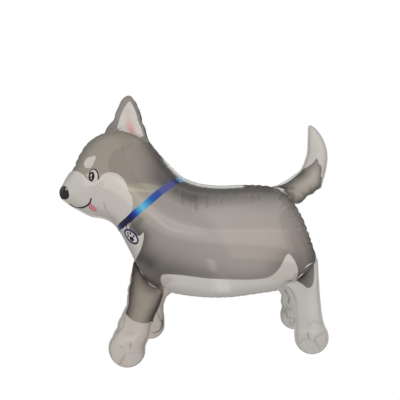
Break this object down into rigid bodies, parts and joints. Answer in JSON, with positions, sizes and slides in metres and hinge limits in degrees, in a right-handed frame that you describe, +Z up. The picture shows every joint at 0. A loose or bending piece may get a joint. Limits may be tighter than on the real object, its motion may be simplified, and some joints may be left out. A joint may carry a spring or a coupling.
{
  "type": "husky foil balloon",
  "caption": "Inflated walking husky puppy foil balloon, grey and white, with a printed blue collar, standing on its round feet.",
  "frame": {"origin": "on the floor under the middle of the whole balloon's length and width", "axes": "+Z up, the dog looks along -X, its left side faces -Y"},
  "size_m": [0.5716, 0.2414, 0.5343],
  "materials": {
    "printed_foil": "taupe grey and white airbrush print on glossy metallised film, with a blue collar, face and tag printed on each side",
    "ear_foil": "grey rim with a white and pink inside printed on glossy film",
    "tail_foil": "white tip and grey root printed on glossy film",
    "grey_leg_foil": "grey leg and white sock printed on the outer sheet, plain white inner sheet, glossy film",
    "white_leg_foil": "white glossy film with a grey patch at the thigh"
  },
  "bodies": {
    "root": {"body": "printed_foil", "ear_left": "ear_foil", "ear_right": "ear_foil", "tail": "tail_foil", "front_leg_left": "grey_leg_foil", "front_leg_right": "grey_leg_foil", "rear_leg_left": "white_leg_foil", "rear_leg_right": "white_leg_foil"}
  },
  "joints": []
}
